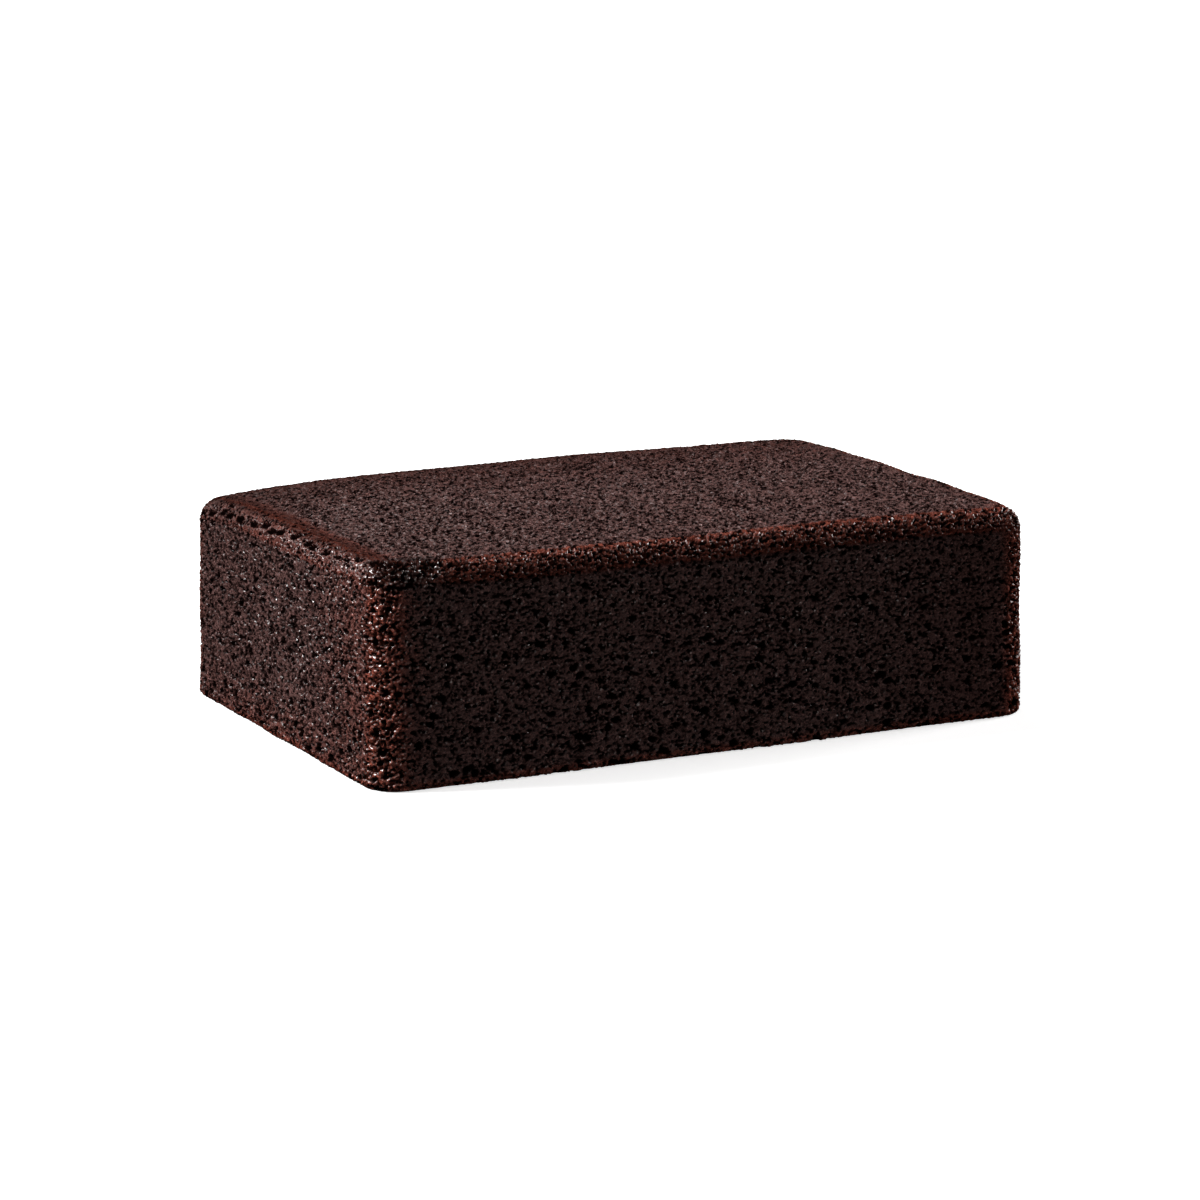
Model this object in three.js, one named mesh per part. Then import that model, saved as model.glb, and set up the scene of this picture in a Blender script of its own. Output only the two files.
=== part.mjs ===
// Mud cake: one rectangular loaf of dark, moist, open-crumbed chocolate cake, uncut and without icing.
// Millimetres, +Z up. X runs along the length and Y along the width, the long front wall faces -Y, and
// the origin is the middle of the flat base.
//
// The cake is one closed body. Its form is a block with rounded upright corners and rounded top edges.
// The walls lean out a little towards the base, and the top swells in the middle. Three of the top's
// corners sink, and the near left one rises. The whole skin is uneven. On that form lies the coarse
// crumb: nodules, and sunken holes that are more frequent low on the walls.

import * as THREE from "three";
import { mergeVertices } from "three/addons/utils/BufferGeometryUtils.js";

// Overall form.
const LENGTH = 200; // between the end walls, at the top
const WIDTH = 132; // between the long walls, at the top
const HEIGHT = 59.8; // at the rim of the top face
const CORNER_RADIUS = 8; // upright corners, seen from above
const TOP_EDGE_RADIUS = 5.4;
const BASE_EDGE_RADIUS = 1.8;
const WALL_LEAN = 1.3; // how much further out a wall stands at the base than at the top
const TOP_SWELL = 1; // rise of the top face in its middle
const NEAR_SINKS = { left: -3, right: 1 }; // drop of the top face's corners above the front wall
const FAR_SINKS = { left: 4.5, right: 1.9 };
const SINK_POWER = 4; // how closely those drops keep to the corners
const SWELL_POWER = 4; // how flat the swell is in its middle

// Skin.
const WAVE_HEIGHT = 0.35; // broad unevenness of the walls and the top
const WAVE_LENGTHS = [71, 43, 29];
const CRUMB_HEIGHT = 0.4; // nodules on flat skin, either way from it
const EDGE_CRUMB_HEIGHT = 0.55; // nodules along the rounded edges, where the crumb is coarser
const HOLE_DEPTH = 1.4;
const HOLE_CELL = 11; // one square of skin of this side holds one hole at most
const HOLE_MARGIN = 0.2; // share of that square kept clear of holes at each side

// Share of the squares that hold a hole, low and high on each wall, in the order of WALLS.
const HOLE_SHARES = [
  { low: 0.85, high: 0.45 },
  { low: 0.8, high: 0.45 },
  { low: 0.7, high: 0.4 },
  { low: 0.3, high: 0.2 },
];

const FACET = 3.6; // side of the skin's facets
const SEED = 7301;

// A seeded source of even random numbers from 0 to 1.
function randomFrom(seed) {
  const MULTIPLIER = 1664525;
  const INCREMENT = 1013904223;
  const RANGE = 2 ** 32;
  let state = seed;
  return () => {
    state = (Math.imul(state, MULTIPLIER) + INCREMENT) >>> 0;
    return state / RANGE;
  };
}

// Vertical section, as a line from the base's contact with the floor, round the base edge, up the wall and
// round the top edge to the top face. It is measured along the skin.
const QUARTER = Math.PI / 2;
const baseArc = BASE_EDGE_RADIUS * QUARTER;
const wallRise = HEIGHT - BASE_EDGE_RADIUS - TOP_EDGE_RADIUS;
const halfTopArc = (TOP_EDGE_RADIUS * QUARTER) / 2;
const sideRun = baseArc + wallRise + halfTopArc; // up to the middle of the rounded top edge

// How far in from the wall, and how high, the section is after a run along the skin.
function section(run) {
  if (run < baseArc) {
    const turn = run / BASE_EDGE_RADIUS;
    return {
      inset: BASE_EDGE_RADIUS * (1 - Math.sin(turn)),
      height: BASE_EDGE_RADIUS * (1 - Math.cos(turn)),
    };
  }
  const rise = run - baseArc;
  if (rise < wallRise) {
    return { inset: 0, height: BASE_EDGE_RADIUS + rise };
  }
  const turn = Math.min((rise - wallRise) / TOP_EDGE_RADIUS, QUARTER);
  const flat = rise - wallRise - TOP_EDGE_RADIUS * turn;
  return {
    inset: TOP_EDGE_RADIUS * (1 - Math.cos(turn)) + flat,
    height: HEIGHT - TOP_EDGE_RADIUS * (1 - Math.sin(turn)),
  };
}

// The skin is laid out as the sides and top of a blank box, whose faces measure what the skin does.
const skinCorner = CORNER_RADIUS - TOP_EDGE_RADIUS + halfTopArc;
const blank = {
  x: LENGTH / 2 - CORNER_RADIUS + skinCorner,
  y: WIDTH / 2 - CORNER_RADIUS + skinCorner,
};

// Drop of the top face's corner in the quarter of the cake that holds this point.
function cornerSink(x, y) {
  const sinks = y < 0 ? NEAR_SINKS : FAR_SINKS;
  return x < 0 ? sinks.left : sinks.right;
}

// The smooth form: where a point of the blank box lies on the cake.
function formPoint(x, y, z) {
  const beyondX = Math.abs(x) - blank.x + skinCorner;
  const beyondY = Math.abs(y) - blank.y + skinCorner;
  const fromRim = Math.min(blank.x - Math.abs(x), blank.y - Math.abs(y));
  const { inset, height } = section(z + fromRim);
  const reach = CORNER_RADIUS - inset + WALL_LEAN * (1 - height / HEIGHT);
  let outX = Math.abs(x);
  let outY = Math.abs(y);
  if (beyondX > 0 && beyondY > 0) {
    // In a corner the square of the blank is bent round to a quarter circle.
    const turn =
      beyondX > beyondY
        ? (QUARTER / 2) * (beyondY / beyondX)
        : QUARTER - (QUARTER / 2) * (beyondX / beyondY);
    outX = LENGTH / 2 - CORNER_RADIUS + reach * Math.cos(turn);
    outY = WIDTH / 2 - CORNER_RADIUS + reach * Math.sin(turn);
  } else if (beyondX > 0) {
    outX = LENGTH / 2 - CORNER_RADIUS + reach;
  } else if (beyondY > 0) {
    outY = WIDTH / 2 - CORNER_RADIUS + reach;
  }
  const u = Math.min((2 * outX) / LENGTH, 1);
  const v = Math.min((2 * outY) / WIDTH, 1);
  const swell = TOP_SWELL * (1 - u ** SWELL_POWER) * (1 - v ** SWELL_POWER);
  const sink = cornerSink(x, y) * (u * v) ** SINK_POWER;
  const share = (height / HEIGHT) ** 2;
  return new THREE.Vector3(
    Math.sign(x) * outX,
    Math.sign(y) * outY,
    height + share * (swell - sink),
  );
}

// Broad waves of the skin: three crossing ripples of unequal length.
function wave(point) {
  const [long, middle, short] = WAVE_LENGTHS;
  const ripple =
    Math.sin(((point.x + point.z) * 2 * Math.PI) / long) +
    Math.sin(((point.y - point.x / 2) * 2 * Math.PI) / middle) +
    Math.sin(((point.z + point.y - point.x / 3) * 2 * Math.PI) / short);
  return (WAVE_HEIGHT * ripple) / WAVE_LENGTHS.length;
}

// How close a point of the blank is to a rounded edge or corner: 1 on it, 0 on flat skin.
function edgeShare(x, y, z) {
  const closeness = [blank.x - Math.abs(x), blank.y - Math.abs(y), sideRun - z];
  closeness.sort((a, b) => a - b);
  return THREE.MathUtils.clamp(1 - closeness[1] / skinCorner, 0, 1);
}

// The four walls on the blank: where each starts, and which way it runs.
const WALLS = [
  { start: [-blank.x, -blank.y], along: [1, 0], run: 2 * blank.x },
  { start: [blank.x, -blank.y], along: [0, 1], run: 2 * blank.y },
  { start: [blank.x, blank.y], along: [-1, 0], run: 2 * blank.x },
  { start: [-blank.x, blank.y], along: [0, -1], run: 2 * blank.y },
];

// Centres of the larger holes, as points of the blank box, all on the upright part of the walls.
function holeCentres(random) {
  const centres = [];
  WALLS.forEach(({ start, along, run }, wall) => {
    const columns = Math.floor(run / HOLE_CELL);
    const rows = Math.floor(wallRise / HOLE_CELL);
    for (let column = 0; column < columns; column += 1) {
      for (let row = 0; row < rows; row += 1) {
        const chance = random();
        const across = HOLE_MARGIN + random() * (1 - 2 * HOLE_MARGIN);
        const up = HOLE_MARGIN + random() * (1 - 2 * HOLE_MARGIN);
        const shares = HOLE_SHARES[wall];
        const share = THREE.MathUtils.lerp(shares.low, shares.high, row / (rows - 1));
        if (chance < share) {
          const distance = ((column + across) * run) / columns;
          centres.push(
            new THREE.Vector3(
              start[0] + along[0] * distance,
              start[1] + along[1] * distance,
              baseArc + ((row + up) * wallRise) / rows,
            ),
          );
        }
      }
    }
  });
  return centres;
}

// Sides and top of the blank box, with its bottom face taken off.
function blankSkin() {
  const box = new THREE.BoxGeometry(
    2 * blank.x,
    2 * blank.y,
    sideRun,
    Math.round((2 * blank.x) / FACET),
    Math.round((2 * blank.y) / FACET),
    Math.round(sideRun / FACET),
  );
  box.translate(0, 0, sideRun / 2);
  const BOTTOM_GROUP = 5;
  const bottom = box.groups[BOTTOM_GROUP];
  const kept = Array.from(box.index.array).slice(0, bottom.start);
  box.setIndex(kept);
  box.deleteAttribute("normal");
  box.deleteAttribute("uv");
  return mergeVertices(box);
}

// Bends the blank into the smooth form, and returns each vertex's place on the blank.
function bendToForm(geometry) {
  const position = geometry.attributes.position;
  const places = [];
  for (let i = 0; i < position.count; i += 1) {
    const place = new THREE.Vector3().fromBufferAttribute(position, i);
    const { x, y, z } = formPoint(place.x, place.y, place.z);
    position.setXYZ(i, x, y, z);
    places.push(place);
  }
  geometry.computeVertexNormals();
  return places;
}

// The lowest row of the blank's vertices lies on the floor.
function onFloor(place) {
  return place.z < FACET / 2;
}

// Raises the nodules and sinks the holes, along the skin's own direction at each vertex.
function roughen(geometry, places, random) {
  const { position, normal } = geometry.attributes;
  const depths = new Float32Array(position.count);
  for (const centre of holeCentres(random)) {
    let nearest = 0;
    places.forEach((place, i) => {
      if (place.distanceToSquared(centre) < places[nearest].distanceToSquared(centre)) {
        nearest = i;
      }
    });
    depths[nearest] = HOLE_DEPTH;
  }
  const point = new THREE.Vector3();
  const outward = new THREE.Vector3();
  places.forEach((place, i) => {
    const edge = edgeShare(place.x, place.y, place.z);
    const height = THREE.MathUtils.lerp(CRUMB_HEIGHT, EDGE_CRUMB_HEIGHT, edge);
    const nodule = height * (2 * random() - 1);
    if (!onFloor(place)) {
      point.fromBufferAttribute(position, i);
      outward.fromBufferAttribute(normal, i);
      point.addScaledVector(outward, wave(point) + nodule - depths[i]);
      position.setXYZ(i, point.x, point.y, Math.max(point.z, 0));
    }
  });
}

// Closes the body with the flat base: a fan from its middle to the ring of vertices on the floor.
function closeBase(geometry, places) {
  const vertices = Array.from(geometry.attributes.position.array);
  const ring = [];
  places.forEach((place, i) => {
    if (onFloor(place)) {
      vertices[3 * i + 2] = 0;
      ring.push(i);
    }
  });
  const bearing = (i) => Math.atan2(places[i].y, places[i].x);
  ring.sort((a, b) => bearing(a) - bearing(b));
  const middle = places.length;
  vertices.push(0, 0, 0);
  const faces = ring.flatMap((corner, k) => [middle, ring[(k + 1) % ring.length], corner]);
  geometry.setAttribute("position", new THREE.Float32BufferAttribute(vertices, 3));
  geometry.setIndex([...geometry.index.array, ...faces]);
  geometry.deleteAttribute("normal");
}

function cakeGeometry() {
  const random = randomFrom(SEED);
  const geometry = blankSkin();
  const places = bendToForm(geometry);
  roughen(geometry, places, random);
  closeBase(geometry, places);
  geometry.computeBoundingBox();
  const middle = geometry.boundingBox.getCenter(new THREE.Vector3());
  geometry.translate(-middle.x, -middle.y, 0);
  geometry.computeVertexNormals();
  return geometry;
}

// Dark cocoa brown, close to black in the holes, with the dull wet sheen of a dense moist crumb.
const crumb = new THREE.MeshStandardMaterial({
  color: 0x38201b,
  roughness: 0.6,
  metalness: 0,
});

const group = new THREE.Group();
const cake = new THREE.Mesh(cakeGeometry(), crumb);
cake.name = "cake";
group.add(cake);

export default group;
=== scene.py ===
import functools
import math

import bpy
import numpy as np
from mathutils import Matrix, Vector
from mathutils.geometry import delaunay_2d_cdt


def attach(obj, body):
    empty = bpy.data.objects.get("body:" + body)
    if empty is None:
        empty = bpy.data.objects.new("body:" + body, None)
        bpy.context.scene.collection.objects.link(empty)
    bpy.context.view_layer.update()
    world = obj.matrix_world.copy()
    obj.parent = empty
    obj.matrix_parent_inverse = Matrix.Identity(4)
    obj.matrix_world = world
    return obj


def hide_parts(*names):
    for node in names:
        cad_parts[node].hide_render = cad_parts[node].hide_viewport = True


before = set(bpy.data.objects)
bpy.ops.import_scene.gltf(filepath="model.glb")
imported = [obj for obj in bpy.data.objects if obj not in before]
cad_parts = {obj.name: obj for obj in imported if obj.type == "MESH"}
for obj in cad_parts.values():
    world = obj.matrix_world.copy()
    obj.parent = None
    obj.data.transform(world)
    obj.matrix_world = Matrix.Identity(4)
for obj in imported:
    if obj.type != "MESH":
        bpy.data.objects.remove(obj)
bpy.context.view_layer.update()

# --- The skin of the cake -------------------------------------------------------------------------
# The whole outside of the cake above its base: dense, moist chocolate crumb, which its pan has
# pressed into a block with rounded edges. Bubbles open all over it as small pits between thin
# ridges, and along the edges the crumb breaks up into coarser, redder nodules.

MM = 0.001

# The block. Its corners sink below the plain form, or rise where the sink is negative, its top
# swells, and long waves run over all of it.
LENGTH = 200 * MM
WIDTH = 132 * MM
HEIGHT = 59.8 * MM
CORNER_RADIUS = 8 * MM
TOP_EDGE_RADIUS = 5.4 * MM
BASE_EDGE_RADIUS = 1.8 * MM
WALL_LEAN = 1.3 * MM
TOP_SWELL = 1 * MM
SWELL_FLATNESS = 4.0
NEAR_SINKS = {"left": -3 * MM, "right": 1 * MM}
FAR_SINKS = {"left": 4.5 * MM, "right": 1.9 * MM}
SINK_FALL = 4.0
WAVE_HEIGHT = 0.35 * MM
WAVE_LENGTHS = (71 * MM, 43 * MM, 29 * MM)
SKIN_STEP = 0.285 * MM
# Its crumb. Pits lie flattened, and the cap keeps the crumb between them level.
PORE = 1.15 * MM
PORE_DEPTH = 0.6 * MM
PORE_REACH = 0.4
PORE_FLATTENING = 0.65
ROLL = 0.9 * MM
ROLL_HEIGHT = 1.9 * MM
NODULE = 1.05 * MM
NODULE_HEIGHT = 0.62 * MM
CAP = 0.12 * MM
HOLE_SPACING = 3.8 * MM
HOLE_RADIUS = 0.9 * MM
HOLE_DEPTH = 1.2 * MM
SEED = 11

QUARTER = math.pi / 2
HALF = (0.5, 0.5, 0.5)
# Small enough not to show, and too small to be a length.
TINY = 1e-6
NO_LENGTH = 1e-9


def feed(socket, value):
    """Gives an input socket a link or a plain value."""
    if isinstance(value, Value):
        socket.id_data.links.new(value.socket, socket)
    elif isinstance(value, bpy.types.NodeSocket):
        socket.id_data.links.new(value, socket)
    else:
        socket.default_value = value


class Value:
    """A node's output that Python arithmetic works on: each operator adds a Math node."""

    def __init__(self, socket):
        self.socket = socket

    @staticmethod
    def maths(operation, *values, clamp=False):
        tree = next(v.socket.id_data for v in values if isinstance(v, Value))
        node = tree.nodes.new("ShaderNodeMath")
        node.operation = operation
        node.use_clamp = clamp
        for socket, value in zip(node.inputs, values):
            feed(socket, value)
        return Value(node.outputs[0])

    def __add__(self, other):
        return self.maths("ADD", self, other)

    __radd__ = __add__

    def __sub__(self, other):
        return self.maths("SUBTRACT", self, other)

    def __rsub__(self, other):
        return self.maths("SUBTRACT", other, self)

    def __mul__(self, other):
        return self.maths("MULTIPLY", self, other)

    __rmul__ = __mul__

    def __truediv__(self, other):
        return self.maths("DIVIDE", self, other)

    def __rtruediv__(self, other):
        return self.maths("DIVIDE", other, self)

    def __pow__(self, other):
        return self.maths("POWER", self, other)

    def __neg__(self):
        return self.maths("MULTIPLY", self, -1.0)

    def __abs__(self):
        return self.maths("ABSOLUTE", self)

    def __gt__(self, other):
        return self.maths("GREATER_THAN", self, other)

    def __lt__(self, other):
        return self.maths("LESS_THAN", self, other)

    def sin(self):
        return self.maths("SINE", self)

    def cos(self):
        return self.maths("COSINE", self)

    def sign(self):
        return self.maths("SIGN", self)

    def round(self):
        return self.maths("ROUND", self)

    def at_least(self, other):
        return self.maths("MAXIMUM", self, other)

    def at_most(self, other):
        return self.maths("MINIMUM", self, other)

    def clamped(self):
        return self.maths("ADD", self, 0.0, clamp=True)

    def towards(self, other, share):
        return self + (other - self) * share


class Nodes:
    """Adds nodes to one tree."""

    def __init__(self, tree):
        self.tree = tree

    def add(self, kind, settings=None, sockets=None):
        """Adds a node: its type, its settings, and the value or link of each of its sockets."""
        node = self.tree.nodes.new(kind)
        for name, value in (settings or {}).items():
            setattr(node, name, value)
        for name, value in (sockets or {}).items():
            feed(node.inputs[name], value)
        return node

    def value(self, *parts, output=0):
        """Adds a node and returns one of its outputs as a Value."""
        return Value(self.add(*parts).outputs[output])

    def smooth(self, value, low, high):
        """0 below low and 1 above high, with a smooth step between."""
        sockets = {"Value": value, "From Min": low, "From Max": high}
        return self.value("ShaderNodeMapRange", {"interpolation_type": "SMOOTHSTEP"}, sockets)

    def band(self, value, low, high, fading, end):
        """1 from high to fading, with a smooth step on either side of it."""
        return self.smooth(value, low, high) * (1 - self.smooth(value, fading, end))

    def noise(self, place, size, detail=0.0, roughness=0.5, distortion=0.0, output=0):
        """Cloudy noise whose lumps are about as wide as size."""
        sockets = {"Vector": place, "Scale": 1 / size, "Detail": detail, "Roughness": roughness}
        sockets["Distortion"] = distortion
        return self.value("ShaderNodeTexNoise", None, sockets, output=output)

    def cells(self, place, size, feature="SMOOTH_F1"):
        """Distance to the nearest of scattered points, in units of their spacing."""
        sockets = {"Vector": place, "Scale": 1 / size}
        if feature == "SMOOTH_F1":
            sockets["Smoothness"] = 0.25
        return self.value("ShaderNodeTexVoronoi", {"feature": feature}, sockets)

    def split(self, vector):
        """The three parts of a vector."""
        node = self.add("ShaderNodeSeparateXYZ", None, {"Vector": vector})
        return [Value(socket) for socket in node.outputs]

    def joined(self, x, y, z):
        """A vector of three parts."""
        return self.value("ShaderNodeCombineXYZ", None, {"X": x, "Y": y, "Z": z})

    def vectors(self, operation, *values, output=0):
        """A Vector Math node."""
        sockets = dict(enumerate(values))
        return self.value("ShaderNodeVectorMath", {"operation": operation}, sockets, output=output)

    def scaled(self, vector, factor):
        """A vector times a number."""
        sockets = {0: vector, "Scale": factor}
        return self.value("ShaderNodeVectorMath", {"operation": "SCALE"}, sockets)

    def stored(self, geometry, values, kind="FLOAT"):
        """The geometry with these values kept as attributes of its points."""
        settings = {"data_type": kind, "domain": "POINT"}
        for name, value in values.items():
            sockets = {"Geometry": geometry, "Name": name, "Value": value}
            node = self.add("GeometryNodeStoreNamedAttribute", settings, sockets)
            geometry = node.outputs[0]
        return geometry

    def kept(self, name):
        """An attribute that was stored before."""
        sockets = {"Name": name}
        return self.value("GeometryNodeInputNamedAttribute", {"data_type": "FLOAT"}, sockets)

    def placed(self, geometry, **sockets):
        """The geometry with its points at another position, or moved by an offset."""
        sockets["Geometry"] = geometry
        return self.add("GeometryNodeSetPosition", None, sockets).outputs[0]

    def finished(self, geometry, material):
        """Ends the tree with its instances made real and the material set."""
        real = self.add("GeometryNodeRealizeInstances", None, {"Geometry": geometry})
        sockets = {"Geometry": real.outputs[0], "Material": material}
        dressed = self.add("GeometryNodeSetMaterial", None, sockets)
        self.add("NodeGroupOutput", None, {"Geometry": dressed.outputs[0]})
        return self.tree


def new_geometry_tree(name, inputs):
    """A geometry tree with these inputs, as (name, type, value), and its Nodes and input Values."""
    tree = bpy.data.node_groups.new(name, "GeometryNodeTree")
    face = tree.interface
    face.new_socket("Geometry", in_out="INPUT", socket_type="NodeSocketGeometry")
    for label, kind, value in inputs:
        socket = face.new_socket(label, in_out="INPUT", socket_type=kind)
        if kind != "NodeSocketMaterial":
            socket.default_value = value
    face.new_socket("Geometry", in_out="OUTPUT", socket_type="NodeSocketGeometry")
    entry = tree.nodes.new("NodeGroupInput")
    values = {label: Value(entry.outputs[label]) for label, _, _ in inputs}
    return Nodes(tree), values, entry.outputs["Geometry"]


def evaluated(name, tree, inputs, start=None):
    """The plain mesh that a geometry tree makes, with its modifier gone."""
    carrier = bpy.data.objects.new(name, start or bpy.data.meshes.new(name))
    bpy.context.scene.collection.objects.link(carrier)
    modifier = carrier.modifiers.new(name, "NODES")
    modifier.node_group = tree
    for item in tree.interface.items_tree:
        if item.item_type == "SOCKET" and item.in_out == "INPUT" and item.name in inputs:
            modifier[item.identifier] = inputs[item.name]
    graph = bpy.context.evaluated_depsgraph_get()
    mesh = bpy.data.meshes.new_from_object(carrier.evaluated_get(graph), depsgraph=graph)
    bpy.data.objects.remove(carrier)
    return mesh


SKIN_INPUTS = [
    ("Length", "NodeSocketFloat", LENGTH),
    ("Width", "NodeSocketFloat", WIDTH),
    ("Height", "NodeSocketFloat", HEIGHT),
    ("Corner radius", "NodeSocketFloat", CORNER_RADIUS),
    ("Top edge radius", "NodeSocketFloat", TOP_EDGE_RADIUS),
    ("Base edge radius", "NodeSocketFloat", BASE_EDGE_RADIUS),
    ("Wall lean", "NodeSocketFloat", WALL_LEAN),
    ("Top swell", "NodeSocketFloat", TOP_SWELL),
    ("Near left sink", "NodeSocketFloat", NEAR_SINKS["left"]),
    ("Near right sink", "NodeSocketFloat", NEAR_SINKS["right"]),
    ("Far left sink", "NodeSocketFloat", FAR_SINKS["left"]),
    ("Far right sink", "NodeSocketFloat", FAR_SINKS["right"]),
    ("Wave height", "NodeSocketFloat", WAVE_HEIGHT),
    ("Step", "NodeSocketFloat", SKIN_STEP),
    ("Pore", "NodeSocketFloat", PORE),
    ("Pore depth", "NodeSocketFloat", PORE_DEPTH),
    ("Pore reach", "NodeSocketFloat", PORE_REACH),
    ("Roll", "NodeSocketFloat", ROLL),
    ("Roll height", "NodeSocketFloat", ROLL_HEIGHT),
    ("Nodule", "NodeSocketFloat", NODULE),
    ("Nodule height", "NodeSocketFloat", NODULE_HEIGHT),
    ("Cap", "NodeSocketFloat", CAP),
    ("Hole spacing", "NodeSocketFloat", HOLE_SPACING),
    ("Hole radius", "NodeSocketFloat", HOLE_RADIUS),
    ("Hole depth", "NodeSocketFloat", HOLE_DEPTH),
    ("Seed", "NodeSocketInt", SEED),
    ("Material", "NodeSocketMaterial", None),
]


def blank_measures(given):
    """Measures of the skin laid flat, as the sides and top of a blank box, in numbers or Values."""
    arc = given["Top edge radius"] * (QUARTER / 2)
    corner = given["Corner radius"] - given["Top edge radius"] + arc
    size_x = given["Length"] - 2 * given["Corner radius"] + 2 * corner
    size_y = given["Width"] - 2 * given["Corner radius"] + 2 * corner
    rise = given["Height"] - given["Base edge radius"] - given["Top edge radius"]
    run = given["Base edge radius"] * QUARTER + rise + arc
    return {"arc": arc, "corner": corner, "rise": rise, "size": (size_x, size_y, run)}


def blank_box(nodes, size, step):
    """The sides and top of the blank, in squares of the step, standing on the floor."""
    counts = {}
    for axis, measure in zip("XYZ", size):
        counts["Vertices " + axis] = (measure / step).round() + 1
    box = nodes.add("GeometryNodeMeshCube", None, {"Size": nodes.joined(*size), **counts})
    stood = nodes.placed(box.outputs["Mesh"], Offset=nodes.joined(0.0, 0.0, size[2] / 2))
    facing = nodes.split(nodes.add("GeometryNodeInputNormal").outputs["True Normal"])[2]
    sockets = {"Geometry": stood, "Selection": -facing > 0.5}
    return nodes.add("GeometryNodeDeleteGeometry", {"domain": "FACE"}, sockets).outputs[0]


def form_of(nodes, given, place):
    """Where a point of the blank lies on the smooth cake, and measures of its place on the skin."""
    measures = blank_measures(given)
    arc, corner, rise = measures["arc"], measures["corner"], measures["rise"]
    middle_x = given["Length"] / 2 - given["Corner radius"]
    middle_y = given["Width"] / 2 - given["Corner radius"]
    x, y, z = nodes.split(place)
    out_x, out_y = abs(x), abs(y)
    to_x, to_y = middle_x + corner - out_x, middle_y + corner - out_y
    beyond_x, beyond_y = (corner - to_x).at_least(0.0), (corner - to_y).at_least(0.0)

    # The upright section, after this run along the skin from the floor.
    run = z + to_x.at_most(to_y).at_least(0.0)
    low_arc = given["Base edge radius"] * QUARTER
    low_turn = (run / given["Base edge radius"]).at_most(QUARTER)
    above = (run - low_arc).at_least(0.0)
    high_turn = ((above - rise) / given["Top edge radius"]).at_least(0.0).at_most(QUARTER)
    flat = (above - rise - 2 * arc).at_least(0.0)
    inset = (
        given["Base edge radius"] * (1 - low_turn.sin())
        + given["Top edge radius"] * (1 - high_turn.cos())
        + flat
    )
    height = (
        given["Base edge radius"] * (1 - low_turn.cos())
        + above.at_most(rise)
        + given["Top edge radius"] * high_turn.sin()
    )

    # The plan: in a corner the square of the blank is bent round to a quarter circle.
    beyond = beyond_x.at_least(beyond_y)
    along = (QUARTER / 2) * beyond_y.at_most(beyond_x) / beyond.at_least(NO_LENGTH)
    turn = along.towards(QUARTER - along, beyond_y > beyond_x)
    share_up = height / given["Height"]
    reach = given["Corner radius"] - inset + given["Wall lean"] * (1 - share_up)
    reach = reach * (beyond > NO_LENGTH)
    form_x = out_x.at_most(middle_x) + reach * turn.cos()
    form_y = out_y.at_most(middle_y) + reach * turn.sin()

    u = (2 * form_x / given["Length"]).at_most(1.0)
    v = (2 * form_y / given["Width"]).at_most(1.0)
    swell = given["Top swell"] * (1 - u**SWELL_FLATNESS) * (1 - v**SWELL_FLATNESS)
    near = given["Near left sink"].towards(given["Near right sink"], x > 0.0)
    far = given["Far left sink"].towards(given["Far right sink"], x > 0.0)
    sink = near.towards(far, y > 0.0) * (u * v) ** SINK_FALL
    form_z = height + share_up * share_up * (swell - sink)
    form = nodes.joined(x.sign() * form_x, y.sign() * form_y, form_z)

    # Nearness to the upright edges and to the top edges.
    to_z = (low_arc + rise + arc - z).at_least(0.0)
    upright = (1 - to_x.at_least(to_y) / (2 * corner)).clamped()
    upper = (1 - to_x.at_most(to_y).at_least(to_z) / (2 * corner)).clamped()
    inward = to_x.at_most(to_y) * (to_z < TINY)
    return form, {"upright": upright, "upper": upper, "way_up": run, "inward": inward}


def broad_wave(nodes, given, place):
    """Unevenness of the walls and the top: crossing ripples, one of each wave length."""
    x, y, z = nodes.split(place)
    long, middle, short = (2 * math.pi / length for length in WAVE_LENGTHS)
    ripple = (
        ((x + z) * long).sin()
        + ((y - x / 2) * middle).sin()
        + ((z + y - x / 3) * short).sin()
    )
    return ripple * given["Wave height"] / len(WAVE_LENGTHS)


# Zones of the skin, each from where it begins to where it is full. A band also ends between its
# last two limits. First by the way that the skin faces, as a part of its normal.
FACING_UP = (0.3, 0.9)
FACING_LEFT = (0.3, 0.5)
FACING_FRONT = (0.3, 0.8)
# By the run along the skin from the floor.
FOOT_RING = (0.0, 1.5 * MM)
BOTTOM_RING = (2 * MM, 5 * MM)
FOOT = (2 * MM, 22 * MM)
ROUNDING = (54 * MM, 57 * MM)
ROUNDING_TOP = (59.5 * MM, 61.5 * MM)
# By the way in from the top edges.
RIM_BAND = (1 * MM, 3 * MM, 7 * MM, 11 * MM)
TROUGH_SHADE_BAND = (0.8 * MM, 2 * MM, 5 * MM, 11 * MM)
INNER_RIM = (6 * MM, 12 * MM)
# By nearness to the upright edges or the top edges, which is 1 on the edge.
UPRIGHT_BEADS, UPPER_BEADS = (0.45, 0.75), (0.68, 0.8)
UPRIGHT_RED, UPPER_RED = (0.2, 0.85), (0.6, 0.75)
UPPER_SHADE = (0.5, 0.7)
# By the place along or across the cake.
FRONT_EDGE = (40 * MM, 58 * MM)
PAST_LEFT_CORNER = (-96 * MM, -80 * MM)
RIGHT_PART = (40 * MM, 90 * MM)
LEFT_END = (0.4 * LENGTH, 0.48 * LENGTH)
BACKWARD = (-0.25 * WIDTH, 0.4 * WIDTH)
HALF_WIDTH = (0.0, WIDTH / 2)
BACK_PART = (0.0, 0.4 * WIDTH)
# By the distance from the wet patch at the near corner, in units of its reach.
WET_PLACE = (-90 * MM, -61 * MM, 58.5 * MM)
WET_REACH = (13 * MM, 9 * MM, 6 * MM)
WET_EDGE = (0.6, 1.1)

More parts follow.
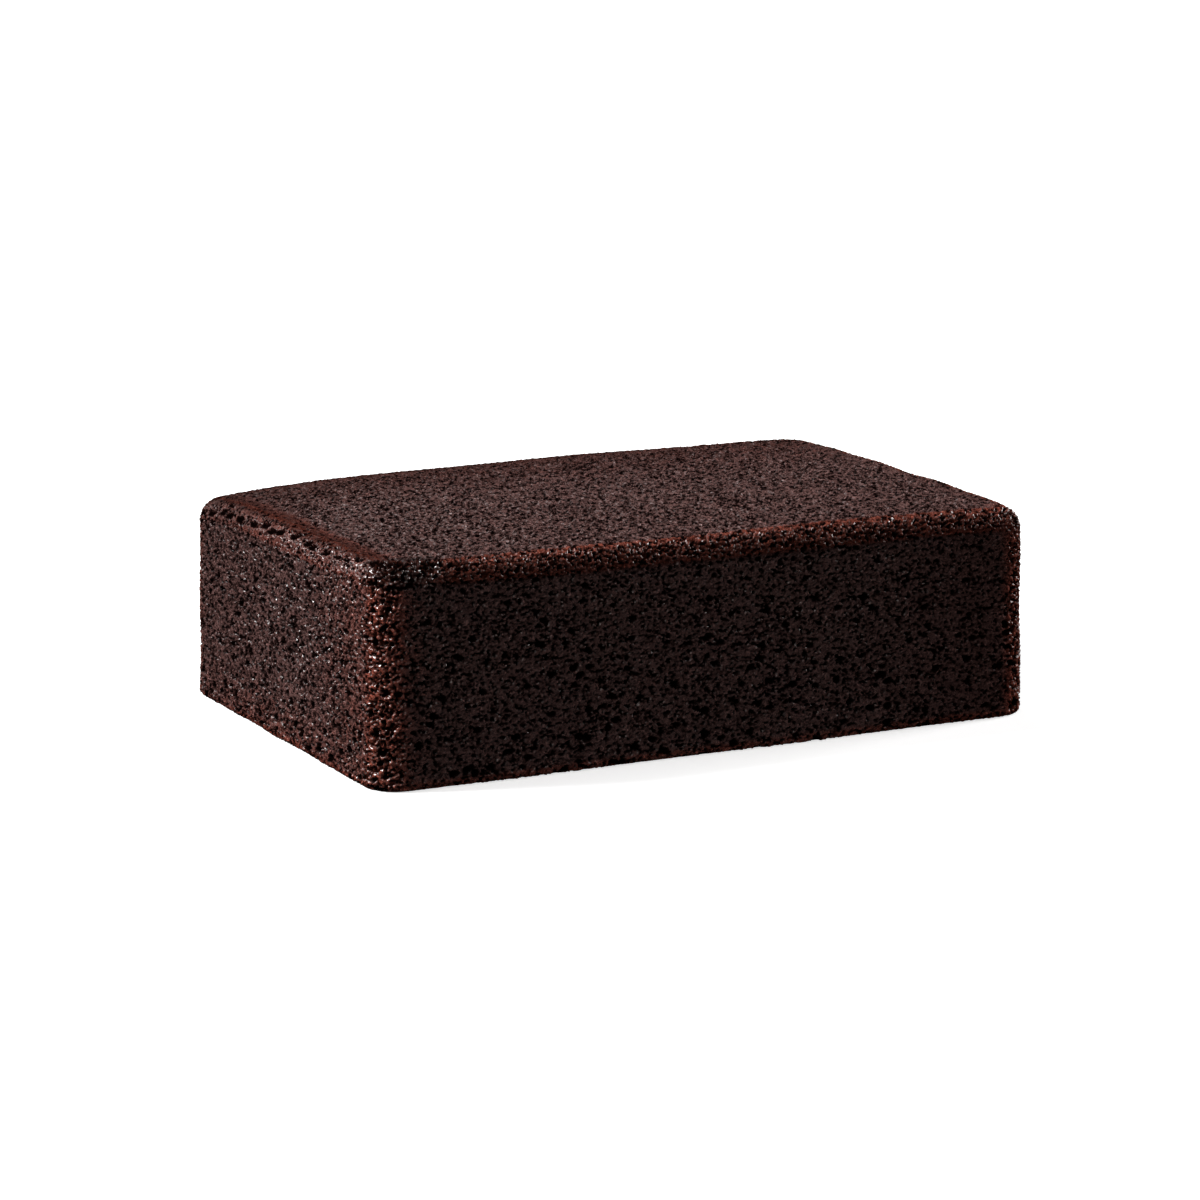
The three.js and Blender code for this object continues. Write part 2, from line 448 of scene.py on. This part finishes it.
# How much of the smooth band is missing, how smooth the rounding is and how much less red, and how
# many of its nodules the far part of the left end loses.
FRONT_BAND_GAP = 0.85
RIGHT_BAND_GAP = 0.7
ROUNDING_SMOOTHNESS = 0.5
ROUNDING_RED_LOSS = 0.6
DRY_BEAD_LOSS = 0.8

# Only the walls have larger holes, and wider ones towards the foot. On the top and the ends the
# pits have a broader rim of painted shade.
WALL_OPENNESS = 0.7
FOOT_OPENNESS = 0.4
TOP_PIT_SHADING = 0.055
END_PIT_SHADING = 0.04


def zones_of(nodes, given, place, normal):
    """The zones in which the crumb differs, as shares from 0 to 1."""
    x, y, z = nodes.split(place)
    normal_x, normal_y, normal_z = nodes.split(normal)
    upright, upper = nodes.kept("upright"), nodes.kept("upper")
    way_up, inward = nodes.kept("way_up"), nodes.kept("inward")
    upness = nodes.smooth(normal_z, *FACING_UP)
    wall = (1 - upness) * (WALL_OPENNESS + FOOT_OPENNESS * (1 - z / given["Height"]))
    right = nodes.smooth(x, *RIGHT_PART)
    left = nodes.smooth(-x, *LEFT_END)
    dry_left = left * nodes.smooth(y, *BACKWARD)
    away = nodes.vectors("SUBTRACT", place, nodes.joined(*WET_PLACE))
    away = nodes.vectors("DIVIDE", away, nodes.joined(*WET_REACH))
    wet = 1 - nodes.smooth(nodes.vectors("LENGTH", away, output=1), *WET_EDGE)

    # Smoother places: a band along the top edges, and the whole rounding above the left end.
    in_front = nodes.smooth(-y, *FRONT_EDGE) * nodes.smooth(x, *PAST_LEFT_CORNER)
    banded = 1 - (FRONT_BAND_GAP * in_front).at_least(RIGHT_BAND_GAP * right)
    rounding = nodes.smooth(way_up, *ROUNDING) * nodes.smooth(-normal_x, *FACING_LEFT)
    smoothed = nodes.band(inward, *RIM_BAND) * banded
    smoothed = smoothed.at_least(ROUNDING_SMOOTHNESS * rounding)

    # The edges: coarser nodules, a redder crumb, and painted shade under the front one.
    beaded = nodes.smooth(upright, *UPRIGHT_BEADS).at_least(nodes.smooth(upper, *UPPER_BEADS))
    beaded = beaded * (1 - smoothed) * (1 - DRY_BEAD_LOSS * dry_left)
    upper_red = nodes.smooth(upper, *UPPER_RED) * (1 - ROUNDING_RED_LOSS * rounding)
    shaded = nodes.smooth(-normal_y, *FACING_FRONT) * nodes.smooth(upper, *UPPER_SHADE)
    return {
        "wall": wall,
        "level": 1 - wall.at_most(1.0),
        "way up": way_up,
        "off the floor": nodes.smooth(way_up, *FOOT_RING),
        "smoothed": smoothed,
        "matt": smoothed.at_least(rounding * nodes.smooth(way_up, *ROUNDING_TOP)),
        "beaded": beaded.at_least(wet),
        "wet": wet,
        # Painted shade: a broader dark rim round the pits on the top and the ends.
        "pit_shade": TOP_PIT_SHADING * upness + END_PIT_SHADING * abs(normal_x),
        "edges": nodes.smooth(upright, *UPRIGHT_RED).at_least(upper_red),
        "inner rim": (1 - nodes.smooth(inward, *INNER_RIM)) * (inward > 0.0) * banded,
        # Painted shade: a dark band along the top edges.
        "trough shade": nodes.band(inward, *TROUGH_SHADE_BAND) * banded,
        "bottom": 1 - nodes.smooth(way_up, *BOTTOM_RING),
        "back": nodes.smooth(y, *BACK_PART),
        # Painted shade: the far half of the top, darker and redder towards the back.
        "far top shade": nodes.smooth(y, *HALF_WIDTH) * upness,
        # Painted light: the near half of the left end is made redder.
        "lit near left": left * nodes.smooth(-y, *HALF_WIDTH),
        "left foot": left * (1 - nodes.smooth(way_up, *FOOT)),
        "front shade": shaded,
        "dry front": shaded * (1 - wet),
        "dry right": right * (1 - upness),
        "dry left": dry_left,
    }


# Holes: how far the ring of painted shade round one reaches, and the share of its reach that is
# its full depth.
SHADE_REACH = 1.25
HOLE_FLOOR = 0.75
# The row of long holes: where it runs, how it is spaced, and how deep and wide its holes are.
ROW_MIDDLE = 59.6 * MM
ROW_SPACING = 3.4 * MM
ROW_LENGTHENING = 2.1
ROW_RISE = 4 * MM
ROW_FLOOR = 0.7
ROW_SHARE = 0.7
ROW_LEFT = (0.3, 0.45)
ROW_REACH = 0.13
ROW_REACH_LEFT = 0.16
ROW_REACH_PATCHY = 0.15
ROW_RANDOMNESS = 0.6


def hole_and_shade(nodes, distance, reach, floor_share):
    """A hole at each point of a pattern, as a share of its depth, and painted shade round it."""
    hole = 1 - nodes.smooth(distance, floor_share * reach, reach + TINY)
    pit_shade = 1 - nodes.smooth(distance, reach, SHADE_REACH * reach + TINY)
    return hole, pit_shade


def row_of_holes(nodes, given, place, way_up, patchy):
    """Long holes in a row along the top edge, longest above the left end.

    The row rises towards the near corner.
    """
    x, y, _ = nodes.split(place)
    along = (x + y) / ROW_LENGTHENING
    across = way_up - ROW_MIDDLE + ROW_RISE * (y / given["Width"]) + ROW_SPACING / 2
    sockets = {"Vector": nodes.joined(along, across, 0.0), "Scale": 1 / ROW_SPACING}
    sockets["Randomness"] = ROW_RANDOMNESS
    distance = nodes.value("ShaderNodeTexVoronoi", {"voronoi_dimensions": "2D"}, sockets)
    in_row = abs(across - ROW_SPACING / 2) < ROW_SPACING / 2
    leftmost = nodes.smooth(-x, *(limit * given["Length"] for limit in ROW_LEFT))
    reach = ROW_REACH + ROW_REACH_LEFT * leftmost + ROW_REACH_PATCHY * patchy
    return hole_and_shade(nodes, distance, in_row * reach.at_least(0.0), ROW_FLOOR)


# Pits, nicks between them, gaps between the nodules and pocks among them. Each opens between two
# limits and is darkened by painted shade between two others, in units of its own pattern. A lip
# stands round a pit.
PIT_EDGE, PIT_SHADING = (0.0, 0.08), (-0.05, 0.02)
NICK_EDGE, NICK_SHADING = (0.0, 0.1), (-0.03, 0.03)
GAP_EDGE, GAP_SHADING = (0.05, 0.17), (0.05, 0.15)
POCK_EDGE, POCK_SHADING = (0.2, 0.27), (0.25, 0.31)
LIP_EDGE = (-0.18, -0.06)
LIP_HEIGHT = 0.14 * MM
POCK = 2.3 * MM
NICK_DEPTH = 0.6
POCK_DEPTH = 1.5
LEAST_BEADED = 0.01
FINE_DARKNESS = 0.8
LIP_SMOOTHING = 0.7

# Noises that shape them: their size in pits, and how far they go.
BEND_SIZE = 2
PATCH_SIZE = 6
RAGGED_SIZE = 0.6
RAGGED_REACH = 0.4
NICK_SIZE = 0.45
ROLL_DETAIL = (2.0, 0.6)

# The nodules are sunk a little into the edges and swell where they are wet. The dips between the
# rolls of the faces are darkened with painted shade.
NODULE_SINK = 0.2
WET_SWELL = 0.6
DIP_START = 0.25
DIP_STEEPNESS = 3.5
DIP_SHADE_DARKNESS = 0.4
SMOOTHING = 0.5
CAP_SLOPE = 0.25
# Each seed takes the crumb from another place of the patterns, this far along.
SEED_SHIFT = 0.1

# How much further the pits reach in a zone.
OPENING = {"patchy": 0.06, "smoothed": -0.07, "beaded": -0.04, "wet": 0.1, "level": -0.015}


def crumb_relief(nodes, given, form_place, zones):
    """How far the crumb stands out from the smooth form, how dark it is, and where its lips are."""
    pore = given["Pore"]
    place = nodes.vectors("ADD", form_place, nodes.joined(given["Seed"] * SEED_SHIFT, 0.0, 0.0))
    bend = nodes.vectors("SUBTRACT", nodes.noise(place, BEND_SIZE * pore, output=1), HALF)
    warped = nodes.vectors("ADD", place, nodes.scaled(bend, pore))
    flattening = nodes.joined(PORE_FLATTENING, PORE_FLATTENING, 1.0)
    lying = nodes.vectors("MULTIPLY", warped, flattening)
    beaded, smoothed = zones["beaded"], zones["smoothed"]
    patchy = nodes.noise(place, PATCH_SIZE * pore) - 0.5
    zones = {**zones, "patchy": patchy}

    # The pan has pressed the faces down to low rolls. The edges keep their rounded nodules.
    rolls_place = nodes.vectors("MULTIPLY", place, flattening)
    roll = nodes.noise(rolls_place, given["Roll"], *ROLL_DETAIL) - 0.5
    bead = 0.5 - nodes.cells(place, given["Nodule"])
    beads = (bead - NODULE_SINK) * given["Nodule height"] * (1 + WET_SWELL * zones["wet"])
    lumps = (roll * given["Roll height"]).towards(beads, beaded)
    # Painted shade in the dips between the rolls.
    dip_shade = (DIP_START - DIP_STEEPNESS * roll).clamped() * DIP_SHADE_DARKNESS * (1 - beaded)

    # Pits, large and small, with steep walls, and the gaps between the nodules. Each is dark up to
    # its lip, with darker crumb and painted shade.
    reach = given["Pore reach"]
    for zone, opening in OPENING.items():
        reach = reach + opening * zones[zone]
    ragged = nodes.noise(lying, RAGGED_SIZE * pore, 1.0) - 0.5
    under = reach + RAGGED_REACH * ragged - nodes.cells(lying, pore, "F1")
    fine = reach - nodes.noise(lying, NICK_SIZE * pore)
    pocks = nodes.cells(place, POCK, "F1") / beaded.at_least(LEAST_BEADED)
    pits = nodes.smooth(under, *PIT_EDGE)
    hollow = pits.at_least(nodes.smooth(fine, *NICK_EDGE) * NICK_DEPTH)
    hollow = hollow.at_least(nodes.smooth(-bead, *GAP_EDGE) * beaded)
    hollow = hollow.at_least(POCK_DEPTH * (1 - nodes.smooth(pocks, *POCK_EDGE)))
    # Painted shade, over darker crumb, in the pits, nicks, gaps and pocks.
    dark = nodes.smooth(under + zones["pit_shade"], *PIT_SHADING)
    dark = dark.at_least(nodes.smooth(fine + zones["pit_shade"], *NICK_SHADING) * FINE_DARKNESS)
    dark = dark.at_least(nodes.smooth(-bead, *GAP_SHADING) * FINE_DARKNESS * beaded)
    dark = dark.at_least(1 - nodes.smooth(pocks, *POCK_SHADING)).at_least(dip_shade)
    lip = nodes.smooth(under, *LIP_EDGE) * (1 - pits)
    lip = lip * (1 - beaded) * (1 - LIP_SMOOTHING * smoothed)

    # Sparse larger holes in the walls, wider than high, and the row of long ones.
    distance = nodes.cells(lying, given["Hole spacing"], "F1") * given["Hole spacing"]
    reach = given["Hole radius"] * zones["wall"]
    holes, hole_shade = hole_and_shade(nodes, distance, reach, HOLE_FLOOR)
    row, row_shade = row_of_holes(nodes, given, form_place, zones["way up"], patchy)
    holes = holes.at_least(ROW_SHARE * row)
    # Painted shade round the holes and along the row of holes.
    dark = dark.at_least(hole_shade).at_least(row_shade)
    relief = lumps * (1 - SMOOTHING * smoothed) - hollow * given["Pore depth"]
    relief = relief.at_most(given["Cap"] + CAP_SLOPE * relief) - holes * given["Hole depth"]
    return relief + lip * LIP_HEIGHT, dark, lip


# How red, how dark and how dull a zone of the skin is, beside its hollows. The darkening is
# painted shade; in the wet patch at the near corner it is partly dark wet crumb as well. The
# redness of the far half of the top is painted shade too, and the redness of the near half of
# the left end is painted light.
REDNESS = {
    "edges": 1.0,
    "inner rim": 0.5,
    "bottom": 0.8,
    "far top shade": 0.45,
    "lit near left": 0.4,
    "left foot": 0.4,
}
PAINTED_SHADE = {"wet": 0.8, "trough shade": 0.65, "far top shade": 0.45, "front shade": 0.5}
DULLNESS = {"dry right": 0.7, "dry left": 0.6, "far top shade": 0.5, "dry front": 0.6}
BACK_RED_LOSS = 0.4
MATT_LOSS = 0.7
GLOSS_FALL = 1.7
SHINE = 0.65
EDGE_SHINE = 0.35
WET_SHINE = 0.8


def strongest(zones, shares):
    """The greatest of some zones, each times its share."""
    parts = [share * zones[zone] for zone, share in shares.items()]
    return functools.reduce(Value.at_least, parts)


def skin_tree():
    nodes, given, _ = new_geometry_tree("cake_skin", SKIN_INPUTS)
    blank = blank_box(nodes, blank_measures(given)["size"], given["Step"])
    place = nodes.add("GeometryNodeInputPosition").outputs[0]
    form, measures = form_of(nodes, given, place)
    geometry = nodes.stored(blank, {"blank": place}, "FLOAT_VECTOR")
    geometry = nodes.placed(nodes.stored(geometry, measures), Position=form)

    on_form = nodes.add("GeometryNodeInputPosition").outputs[0]
    normal = nodes.add("GeometryNodeInputNormal").outputs["Normal"]
    zones = zones_of(nodes, given, on_form, normal)
    relief, dark, lip = crumb_relief(nodes, given, on_form, zones)
    red = strongest(zones, REDNESS) * (1 - BACK_RED_LOSS * zones["back"])
    # The darkness of the pits is darker crumb and painted shade; the zones add painted shade of
    # their own.
    cavity = dark.at_least(strongest(zones, PAINTED_SHADE))
    shine = SHINE + EDGE_SHINE * lip.at_least(zones["beaded"]) + WET_SHINE * zones["wet"]
    gloss = (1 - dark) ** GLOSS_FALL * (1 - MATT_LOSS * zones["matt"]) * shine
    gloss = gloss * (1 - strongest(zones, DULLNESS))
    geometry = nodes.stored(geometry, {"cavity": cavity, "red": red, "gloss": gloss})

    out = (relief + broad_wave(nodes, given, on_form)) * zones["off the floor"]
    moved = nodes.vectors("ADD", on_form, nodes.scaled(normal, out))
    # Nothing reaches below the floor.
    moved = nodes.vectors("MAXIMUM", moved, nodes.joined(-LENGTH, -LENGTH, 0.0))
    return nodes.finished(nodes.placed(geometry, Position=moved), given["Material"])


# The crumb's colour: greyish cocoa brown, redder along the edges, close to black in the pits,
# partly as painted shade.
FACE_COLOUR = (0.168, 0.084, 0.076, 1.0)
EDGE_COLOUR = (0.280, 0.066, 0.041, 1.0)
PIT_COLOUR = (0.0055, 0.002, 0.0017, 1.0)
# The red drifts in soft patches. The crumb is grainy, with fine ridges painted pale as highlights.
DRIFT_SIZE = 4 * MM
DRIFT_REACH = 0.5
RED_FULL = 0.9
GRAIN_SIZE = 0.5 * MM
GRAIN_SHADE = 0.5
RIDGE_SIZE = 1.2 * MM
RIDGE_EDGE = (0.88, 0.98)
RIDGE_HIGHLIGHT = 1.3
RIDGE_HEIGHT = 0.8
BUMP_DEPTH = 0.9 * MM
PLAIN_SHADE = 0.53
DULL_SHADE = 0.86
GLOSS_HIGHLIGHT = 0.4
# A thin coat of moisture, which lies in patches.
SHEEN_SIZE = 1.1 * MM
SHEEN_EDGE = (0.4, 0.6)
COAT = 0.5
COAT_PATCHES = 0.35
COAT_RIDGES = 0.5
COAT_ROUGHNESS = 0.27
COAT_IOR = 2.0
ROUGHNESS = 0.32
ROUGHNESS_SPREAD = 0.25


def new_material(name):
    """An empty material, with the Nodes that fill it."""
    material = bpy.data.materials.new(name)
    material.use_nodes = True
    nodes = Nodes(material.node_tree)
    nodes.tree.nodes.clear()
    return material, nodes


def crumb_material():
    material, nodes = new_material("moist_crumb")
    place = nodes.add("ShaderNodeTexCoord").outputs["Object"]

    def attribute(name):
        return nodes.value("ShaderNodeAttribute", {"attribute_name": name}, output=2)

    def mixed(share, first, second):
        sockets = {0: share, 6: first, 7: second}
        return nodes.value("ShaderNodeMix", {"data_type": "RGBA"}, sockets, output=2)

    drift = nodes.noise(place, DRIFT_SIZE, 2.0) - 0.5
    red = nodes.smooth(attribute("red") + drift * DRIFT_REACH, 0.0, RED_FULL)
    grain = nodes.noise(place, GRAIN_SIZE, 1.0)
    # A ridge runs where a cloudy noise crosses its middle.
    ridge = 1 - 2 * abs(nodes.noise(place, RIDGE_SIZE, 1.0, 0.5, 1.0) - 0.5)
    ridge = nodes.smooth(ridge, *RIDGE_EDGE)
    # The ridges are painted paler, as highlights.
    shade = PLAIN_SHADE + GRAIN_SHADE * grain + RIDGE_HIGHLIGHT * ridge
    # Glossier places, such as the lips of the pits and the nodules, are painted lighter as
    # highlights.
    shade = shade * (DULL_SHADE + GLOSS_HIGHLIGHT * attribute("gloss"))
    colour = nodes.scaled(mixed(red, FACE_COLOUR, EDGE_COLOUR), shade)
    height = grain + RIDGE_HEIGHT * ridge
    sockets = {"Strength": 1.0, "Distance": BUMP_DEPTH, "Height": height}
    bump = nodes.add("ShaderNodeBump", None, sockets)
    sheen = nodes.noise(place, SHEEN_SIZE, 1.0)
    coat = COAT + COAT_PATCHES * nodes.smooth(sheen, *SHEEN_EDGE) + COAT_RIDGES * ridge
    shader = nodes.add(
        "ShaderNodeBsdfPrincipled",
        None,
        {
            "Base Color": mixed(attribute("cavity"), colour, PIT_COLOUR),
            "Roughness": ROUGHNESS + ROUGHNESS_SPREAD * sheen,
            "Normal": bump.outputs["Normal"],
            "Coat Weight": (attribute("gloss") * coat).at_most(1.0),
            "Coat Roughness": COAT_ROUGHNESS,
            "Coat IOR": COAT_IOR,
            "Specular IOR Level": 0.0,
        },
    )
    nodes.add("ShaderNodeOutputMaterial", None, {"Surface": shader.outputs[0]})
    return material


crumb = crumb_material()
skin = evaluated("cake_skin", skin_tree(), {"Material": crumb})


def column(mesh, name, width, kind="value"):
    """A mesh's point attribute as an array."""
    data = mesh.attributes[name].data
    values = np.empty(len(data) * width, np.float32)
    data.foreach_get(kind, values)
    return values.reshape(-1, width)


def corner_points(mesh):
    """Which point lies at each corner of the faces."""
    corners = np.empty(len(mesh.loops), np.int32)
    mesh.loops.foreach_get("vertex_index", corners)
    return corners


points = column(skin, "position", 3, "vector")
squares = corner_points(skin).reshape(-1, 4)
normals = np.empty(len(points) * 3, np.float32)
skin.vertex_normals.foreach_get("vector", normals)
normals = normals.reshape(-1, 3)
blank_places = column(skin, "blank", 3, "vector")
shares = {name: column(skin, name, 1)[:, 0] for name in ("cavity", "red", "gloss")}

# Which side of the blank each square is on.
blank_size = blank_measures({label: value for label, _, value in SKIN_INPUTS})["size"]
blank_x, blank_y, side_run = blank_size[0] / 2, blank_size[1] / 2, blank_size[2]
middles = blank_places[squares].mean(1)
near = SKIN_STEP / 10
on_top = middles[:, 2] > side_run - near
on_front = ~on_top & (middles[:, 1] < -blank_y + near)
on_back = ~on_top & (middles[:, 1] > blank_y - near)
on_left = ~on_top & (middles[:, 0] < -blank_x + near)
on_right = ~on_top & (middles[:, 0] > blank_x - near)


def strips(name, chosen, count, axis=0):
    """Cuts a side of the skin across its length into strips of the same width."""
    share = (middles[:, axis] / (blank_x, blank_y)[axis] + 1) / 2
    which = np.minimum((share * count).astype(int), count - 1)
    return {f"{name}_{k + 1}": chosen & (which == k) for k in range(count)}


PANELS = {
    **strips("cake_front", on_front, 2),
    **strips("cake_back", on_back, 2),
    **strips("cake_top", on_top, 4),
    **strips("cake_left_end", on_left, 2, 1),
    **strips("cake_right_end", on_right, 2, 1),
}
UV_AXES = {"front": (0, 2), "back": (0, 2), "end": (1, 2), "top": (0, 1)}


def unwrap(mesh, flat, corners):
    """Gives a mesh its UV map, from the flat place of each point."""
    flat = (flat - flat.min(0)) / (flat.max(0) - flat.min(0))
    uv = mesh.uv_layers.new(name="OFBake")
    uv.data.foreach_set("uv", flat[corners].astype(np.float32).ravel())


def cake_piece(name, mesh):
    """A part of the cake's surface as an object, in place of the plain solid."""
    piece = bpy.data.objects.new(name, mesh)
    bpy.context.scene.collection.objects.link(piece)
    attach(piece, "root")
    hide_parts("cake")


def panel_mesh(name, chosen):
    """One part of the skin, which meets its neighbours point for point."""
    faces = squares[chosen]
    used, corners = np.unique(faces, return_inverse=True)
    corners = corners.reshape(-1).astype(np.int32)
    mesh = bpy.data.meshes.new(name)
    mesh.vertices.add(len(used))
    mesh.vertices.foreach_set("co", points[used].ravel())
    mesh.loops.add(len(corners))
    mesh.loops.foreach_set("vertex_index", corners)
    mesh.polygons.add(len(faces))
    mesh.polygons.foreach_set("loop_start", np.arange(0, len(corners), 4, dtype=np.int32))
    mesh.update(calc_edges=True)
    for share, values in shares.items():
        layer = mesh.attributes.new(share, "FLOAT", "POINT")
        layer.data.foreach_set("value", values[used])
    axes = next(pair for part, pair in UV_AXES.items() if part in name)
    unwrap(mesh, blank_places[used][:, axes], corners)
    mesh.normals_split_custom_set_from_vertices(normals[used])
    mesh.materials.append(crumb)
    return mesh


for name, chosen in PANELS.items():
    cake_piece(name, panel_mesh(name, chosen))

# --- The underside of the cake --------------------------------------------------------------------
# The face the cake stands on: the same crumb, which the floor of the pan has pressed flat. Only
# pits break it up. It closes the skin along the lowest ring of the walls.

BASE_STEP = 1 * MM
BASE_PORE = 2 * MM
BASE_PORE_SHARE = 0.45
BASE_PORE_DETAIL = (1.0, 0.4)
BASE_RIM = (3 * MM, 6 * MM)
BASE_REDNESS = 0.8
BASE_GLOSS = 0.5
SAME_POINT = 1e-7
BASE_INPUTS = [
    ("Pore", "NodeSocketFloat", BASE_PORE),
    ("Pore depth", "NodeSocketFloat", PORE_DEPTH),
    ("Pore share", "NodeSocketFloat", BASE_PORE_SHARE),
    ("Material", "NodeSocketMaterial", None),
]


def lowest_ring():
    """The skin's points on the floor, in their order round the cake."""
    sides = np.stack([squares, np.roll(squares, -1, 1)], 2).reshape(-1, 2)
    _, first, count = np.unique(np.sort(sides, 1), axis=0, return_index=True, return_counts=True)
    after = dict(sides[first[count == 1]].tolist())
    start = next(iter(after))
    ring = [start]
    while after[ring[-1]] != start:
        ring.append(after[ring[-1]])
    return np.array(ring[::-1])


def underside_mesh():
    """A flat sheet of small triangles inside the ring."""
    ring = points[lowest_ring()][:, :2]
    inner_x = np.arange(-LENGTH / 2, LENGTH / 2, BASE_STEP)
    inner_y = np.arange(-WIDTH / 2, WIDTH / 2, BASE_STEP)
    grid = np.stack(np.meshgrid(inner_x, inner_y), 2).reshape(-1, 2)
    middle = np.array([LENGTH / 2 - CORNER_RADIUS, WIDTH / 2 - CORNER_RADIUS])
    beyond = np.maximum(np.abs(grid) - middle, 0)
    reach = CORNER_RADIUS - BASE_EDGE_RADIUS + WALL_LEAN - BASE_STEP
    grid = grid[np.hypot(*beyond.T) < reach]
    flat = [Vector(p) for p in np.concatenate([ring, grid]).tolist()]
    spots, _, faces, *_ = delaunay_2d_cdt(flat, [], [list(range(len(ring)))], 1, SAME_POINT)
    mesh = bpy.data.meshes.new("cake_base")
    mesh.from_pydata([(*p, 0) for p in spots], [], [f[::-1] for f in faces])
    return mesh


def underside_tree():
    nodes, given, geometry = new_geometry_tree("cake_base", BASE_INPUTS)
    place = nodes.add("GeometryNodeInputPosition").outputs[0]
    x, y, _ = nodes.split(place)
    to_edge = (LENGTH / 2 - abs(x)).at_most(WIDTH / 2 - abs(y))
    inside = nodes.smooth(to_edge, *BASE_RIM)
    under = given["Pore share"] - nodes.noise(place, given["Pore"], *BASE_PORE_DETAIL)
    pits = nodes.smooth(under, *PIT_EDGE) * inside
    # The pits are darkened with painted shade over darker crumb.
    dark = nodes.smooth(under, *PIT_SHADING) * inside
    red = (1 - inside) * BASE_REDNESS
    gloss = BASE_GLOSS * (1 - dark)
    geometry = nodes.stored(geometry, {"cavity": dark, "red": red, "gloss": gloss})
    offset = nodes.joined(0.0, 0.0, pits * given["Pore depth"])
    return nodes.finished(nodes.placed(geometry, Offset=offset), given["Material"])


underside = evaluated("cake_base", underside_tree(), {"Material": crumb}, underside_mesh())
unwrap(underside, column(underside, "position", 3, "vector")[:, :2], corner_points(underside))
cake_piece("cake_base", underside)

# --- The floor ------------------------------------------------------------------------------------
# A plain pale studio floor, wide enough to fill the picture. It glows a little, so that it stays
# pale, and casts no light of its own on the cake.

FLOOR_SIZE = 30.0
FLOOR_COLOUR = (0.82, 0.82, 0.82, 1.0)
FLOOR_ROUGHNESS = 0.9
FLOOR_GLOW = 0.68
WHITE = (1.0, 1.0, 1.0, 1.0)


def floor_material():
    material, nodes = new_material("pale_floor")
    sockets = {"Base Color": FLOOR_COLOUR, "Roughness": FLOOR_ROUGHNESS}
    sockets.update({"Emission Color": WHITE, "Emission Strength": FLOOR_GLOW})
    shader = nodes.add("ShaderNodeBsdfPrincipled", None, sockets)
    nodes.add("ShaderNodeOutputMaterial", None, {"Surface": shader.outputs[0]})
    return material


bpy.ops.mesh.primitive_plane_add(size=FLOOR_SIZE)
floor = bpy.context.object
floor.name = "floor"
floor.data.materials.append(floor_material())
floor.visible_diffuse = False
floor.visible_glossy = False

# --- Light ----------------------------------------------------------------------------------------
# Large soft lights: the key from the left, fainter ones from behind the cake, one from the right,
# and a weak warm fill for the front. The surround is pale to look at and almost dark as a light.


def soft_light(name, azimuth, elevation, strength, spread, colour=(1.0, 1.0, 1.0)):
    """A far, broad light. Azimuth 0 shines from the front and -90 from the left."""
    lamp = bpy.data.lights.new(name, "SUN")
    lamp.color = colour
    lamp.energy = strength
    lamp.angle = math.radians(spread)
    source = bpy.data.objects.new(name, lamp)
    source.rotation_euler = (math.radians(90 - elevation), 0, math.radians(azimuth))
    bpy.context.scene.collection.objects.link(source)


soft_light("key", azimuth=-112, elevation=39, strength=3.6, spread=12)
soft_light("back", azimuth=-147, elevation=24, strength=1.0, spread=15)
soft_light("sheen", azimuth=178, elevation=40, strength=0.38, spread=25)
soft_light("rim", azimuth=94, elevation=20, strength=2.5, spread=20)
warm = (1.0, 0.9, 0.86)
soft_light("fill", azimuth=-45, elevation=30, strength=0.46, spread=35, colour=warm)

AMBIENT = 0.05
PALE = 1.0

world = bpy.data.worlds.new("surround")
bpy.context.scene.world = world
world.use_nodes = True
surround = Nodes(world.node_tree)
surround.tree.nodes.clear()
seen = surround.value("ShaderNodeLightPath")
strength = AMBIENT + (PALE - AMBIENT) * seen
background = surround.add("ShaderNodeBackground", None, {"Color": WHITE, "Strength": strength})
surround.add("ShaderNodeOutputWorld", None, {"Surface": background.outputs[0]})
bpy.context.scene.view_settings.view_transform = "Standard"

# --- Camera ---------------------------------------------------------------------------------------
# A long lens, low over the near corner of the cake.

FOCAL_PIXELS = 4283.6
PICTURE_PIXELS = 1200
SENSOR = 36.0
NEAREST = 0.05
AZIMUTH = math.radians(-26.66)
ELEVATION = math.radians(12.39)
DISTANCE = 1228.3 * MM
ASIDE = -1.88 * MM
UP = 29.13 * MM

lens = bpy.data.cameras.new("camera")
lens.sensor_width = SENSOR
lens.lens = FOCAL_PIXELS * SENSOR / PICTURE_PIXELS
lens.clip_start = NEAREST
camera = bpy.data.objects.new("camera", lens)
back = Vector((
    math.sin(AZIMUTH) * math.cos(ELEVATION),
    -math.cos(AZIMUTH) * math.cos(ELEVATION),
    math.sin(ELEVATION),
))
right = Vector((math.cos(AZIMUTH), math.sin(AZIMUTH), 0))
up = back.cross(right)
camera.location = ASIDE * right + UP * up + DISTANCE * back
camera.rotation_mode = "QUATERNION"
camera.rotation_quaternion = (-back).to_track_quat("-Z", "Y")
bpy.context.scene.collection.objects.link(camera)
bpy.context.scene.camera = camera
